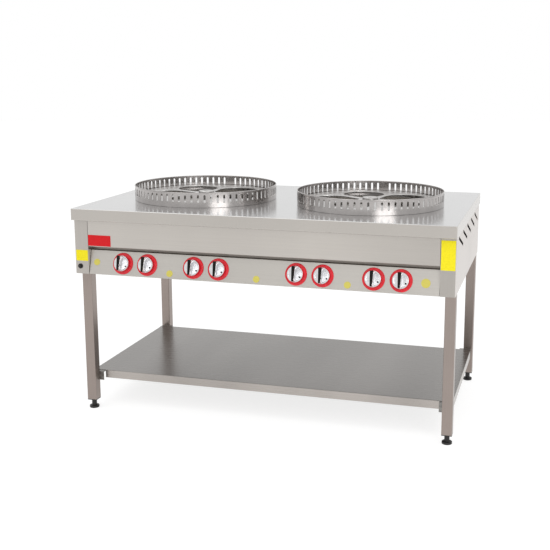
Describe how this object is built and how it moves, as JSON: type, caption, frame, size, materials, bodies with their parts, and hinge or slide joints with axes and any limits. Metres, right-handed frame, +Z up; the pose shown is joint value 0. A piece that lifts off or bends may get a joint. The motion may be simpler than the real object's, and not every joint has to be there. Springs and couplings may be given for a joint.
{
  "type": "two-burner commercial gas stove",
  "caption": "Free-standing gas range with two large ring burners, slotted flame guards, star pan supports, a sloping control panel and an open shelf stand.",
  "frame": {"origin": "on the floor, under the middle of the worktop", "axes": "+X to the right seen from the front, -Y to the front, +Z up"},
  "size_m": [1.5, 0.9193, 0.9],
  "materials": {
    "leg_steel": "brushed",
    "black_plastic": "matte",
    "shelf_steel": "brushed",
    "frame_steel": "mill finish",
    "top_steel": "brushed",
    "body_steel": "brushed",
    "polished_steel": "polished",
    "star_steel": "satin",
    "cast_iron": "as cast",
    "pipe_metal": "zinc plated",
    "brass": "machined",
    "red_ring": "gloss",
    "knob_chrome": "satin chrome",
    "spindle_steel": "machined",
    "ceramic": "glazed",
    "red_plate": "gloss paint",
    "yellow_plate": "gloss paint"
  },
  "bodies": {
    "root": {"leg_front_left": "leg_steel", "leg_front_right": "leg_steel", "leg_rear_left": "leg_steel", "leg_rear_right": "leg_steel", "leg_end_plugs": "black_plastic", "undershelf": "shelf_steel", "shelf_stiffeners": "frame_steel", "shelf_brackets": "frame_steel", "worktop": "top_steel", "well_collars": "top_steel", "front_fascia": "body_steel", "control_panel": "body_steel", "left_cheek": "body_steel", "right_cheek": "body_steel", "left_side_panel": "body_steel", "right_side_panel": "body_steel", "rear_panel": "body_steel", "base_pan": "frame_steel", "flame_guard_left": "polished_steel", "flame_guard_right": "polished_steel", "pivot_posts": "frame_steel", "burner_ring_inner": "cast_iron", "burner_ring_second": "cast_iron", "burner_ring_third": "cast_iron", "burner_ring_outer": "cast_iron", "support_rails": "frame_steel", "burner_bars": "frame_steel", "gas_manifold": "pipe_metal", "inlet_pipe": "pipe_metal", "gas_taps": "brass", "feed_pipes": "brass", "knob_bezels": "red_ring", "igniter_body": "black_plastic", "spark_electrodes": "ceramic", "badge_plate": "red_plate", "marker_plates": "yellow_plate"},
    "spindle_1": {"tap_spindle_1": "spindle_steel"},
    "knob_1": {"knob_1": "knob_chrome"},
    "spindle_2": {"tap_spindle_2": "spindle_steel"},
    "knob_2": {"knob_2": "knob_chrome"},
    "spindle_3": {"tap_spindle_3": "spindle_steel"},
    "knob_3": {"knob_3": "knob_chrome"},
    "spindle_4": {"tap_spindle_4": "spindle_steel"},
    "knob_4": {"knob_4": "knob_chrome"},
    "spindle_5": {"tap_spindle_5": "spindle_steel"},
    "knob_5": {"knob_5": "knob_chrome"},
    "spindle_6": {"tap_spindle_6": "spindle_steel"},
    "knob_6": {"knob_6": "knob_chrome"},
    "spindle_7": {"tap_spindle_7": "spindle_steel"},
    "knob_7": {"knob_7": "knob_chrome"},
    "spindle_8": {"tap_spindle_8": "spindle_steel"},
    "knob_8": {"knob_8": "knob_chrome"},
    "pan_support_left": {"pan_support_left": "star_steel"},
    "pan_support_right": {"pan_support_right": "star_steel"},
    "igniter_button": {"igniter_button": "black_plastic"},
    "foot_front_left": {"foot_front_left": "black_plastic"},
    "foot_front_right": {"foot_front_right": "black_plastic"},
    "foot_rear_left": {"foot_rear_left": "black_plastic"},
    "foot_rear_right": {"foot_rear_right": "black_plastic"}
  },
  "joints": [
    {"name": "turn_knob_1", "type": "hinge", "parent": "root", "child": "spindle_1", "pos_m": [-0.55, -0.41541, 0.625], "axis": [0, -0.9659, 0.2588], "range_deg": [0, 180]},
    {"name": "press_knob_1", "type": "slide", "parent": "spindle_1", "child": "knob_1", "axis": [0, 0.9659, -0.2588], "range_m": [0, 0.004], "stiffness_N_per_m": 800},
    {"name": "turn_knob_2", "type": "hinge", "parent": "root", "child": "spindle_2", "pos_m": [-0.448, -0.41541, 0.625], "axis": [0, -0.9659, 0.2588], "range_deg": [0, 180]},
    {"name": "press_knob_2", "type": "slide", "parent": "spindle_2", "child": "knob_2", "axis": [0, 0.9659, -0.2588], "range_m": [0, 0.004], "stiffness_N_per_m": 800},
    {"name": "turn_knob_3", "type": "hinge", "parent": "root", "child": "spindle_3", "pos_m": [-0.256, -0.41541, 0.625], "axis": [0, -0.9659, 0.2588], "range_deg": [0, 180]},
    {"name": "press_knob_3", "type": "slide", "parent": "spindle_3", "child": "knob_3", "axis": [0, 0.9659, -0.2588], "range_m": [0, 0.004], "stiffness_N_per_m": 800},
    {"name": "turn_knob_4", "type": "hinge", "parent": "root", "child": "spindle_4", "pos_m": [-0.154, -0.41541, 0.625], "axis": [0, -0.9659, 0.2588], "range_deg": [0, 180]},
    {"name": "press_knob_4", "type": "slide", "parent": "spindle_4", "child": "knob_4", "axis": [0, 0.9659, -0.2588], "range_m": [0, 0.004], "stiffness_N_per_m": 800},
    {"name": "turn_knob_5", "type": "hinge", "parent": "root", "child": "spindle_5", "pos_m": [0.154, -0.41541, 0.625], "axis": [0, -0.9659, 0.2588], "range_deg": [0, 180]},
    {"name": "press_knob_5", "type": "slide", "parent": "spindle_5", "child": "knob_5", "axis": [0, 0.9659, -0.2588], "range_m": [0, 0.004], "stiffness_N_per_m": 800},
    {"name": "turn_knob_6", "type": "hinge", "parent": "root", "child": "spindle_6", "pos_m": [0.256, -0.41541, 0.625], "axis": [0, -0.9659, 0.2588], "range_deg": [0, 180]},
    {"name": "press_knob_6", "type": "slide", "parent": "spindle_6", "child": "knob_6", "axis": [0, 0.9659, -0.2588], "range_m": [0, 0.004], "stiffness_N_per_m": 800},
    {"name": "turn_knob_7", "type": "hinge", "parent": "root", "child": "spindle_7", "pos_m": [0.448, -0.41541, 0.625], "axis": [0, -0.9659, 0.2588], "range_deg": [0, 180]},
    {"name": "press_knob_7", "type": "slide", "parent": "spindle_7", "child": "knob_7", "axis": [0, 0.9659, -0.2588], "range_m": [0, 0.004], "stiffness_N_per_m": 800},
    {"name": "turn_knob_8", "type": "hinge", "parent": "root", "child": "spindle_8", "pos_m": [0.55, -0.41541, 0.625], "axis": [0, -0.9659, 0.2588], "range_deg": [0, 180]},
    {"name": "press_knob_8", "type": "slide", "parent": "spindle_8", "child": "knob_8", "axis": [0, 0.9659, -0.2588], "range_m": [0, 0.004], "stiffness_N_per_m": 800},
    {"name": "turn_pan_support_left", "type": "hinge", "parent": "root", "child": "pan_support_left", "pos_m": [-0.352, -0.02, 0.855], "axis": [0, 0, 1], "continuous": true},
    {"name": "turn_pan_support_right", "type": "hinge", "parent": "root", "child": "pan_support_right", "pos_m": [0.352, -0.02, 0.855], "axis": [0, 0, 1], "continuous": true},
    {"name": "press_igniter", "type": "slide", "parent": "root", "child": "igniter_button", "axis": [0, 1, 0], "range_m": [0, 0.003], "stiffness_N_per_m": 600},
    {"name": "set_foot_front_left", "type": "slide", "parent": "root", "child": "foot_front_left", "axis": [0, 0, -1], "range_m": [0, 0.025]},
    {"name": "set_foot_front_right", "type": "slide", "parent": "root", "child": "foot_front_right", "axis": [0, 0, -1], "range_m": [0, 0.025]},
    {"name": "set_foot_rear_left", "type": "slide", "parent": "root", "child": "foot_rear_left", "axis": [0, 0, -1], "range_m": [0, 0.025]},
    {"name": "set_foot_rear_right", "type": "slide", "parent": "root", "child": "foot_rear_right", "axis": [0, 0, -1], "range_m": [0, 0.025]}
  ]
}
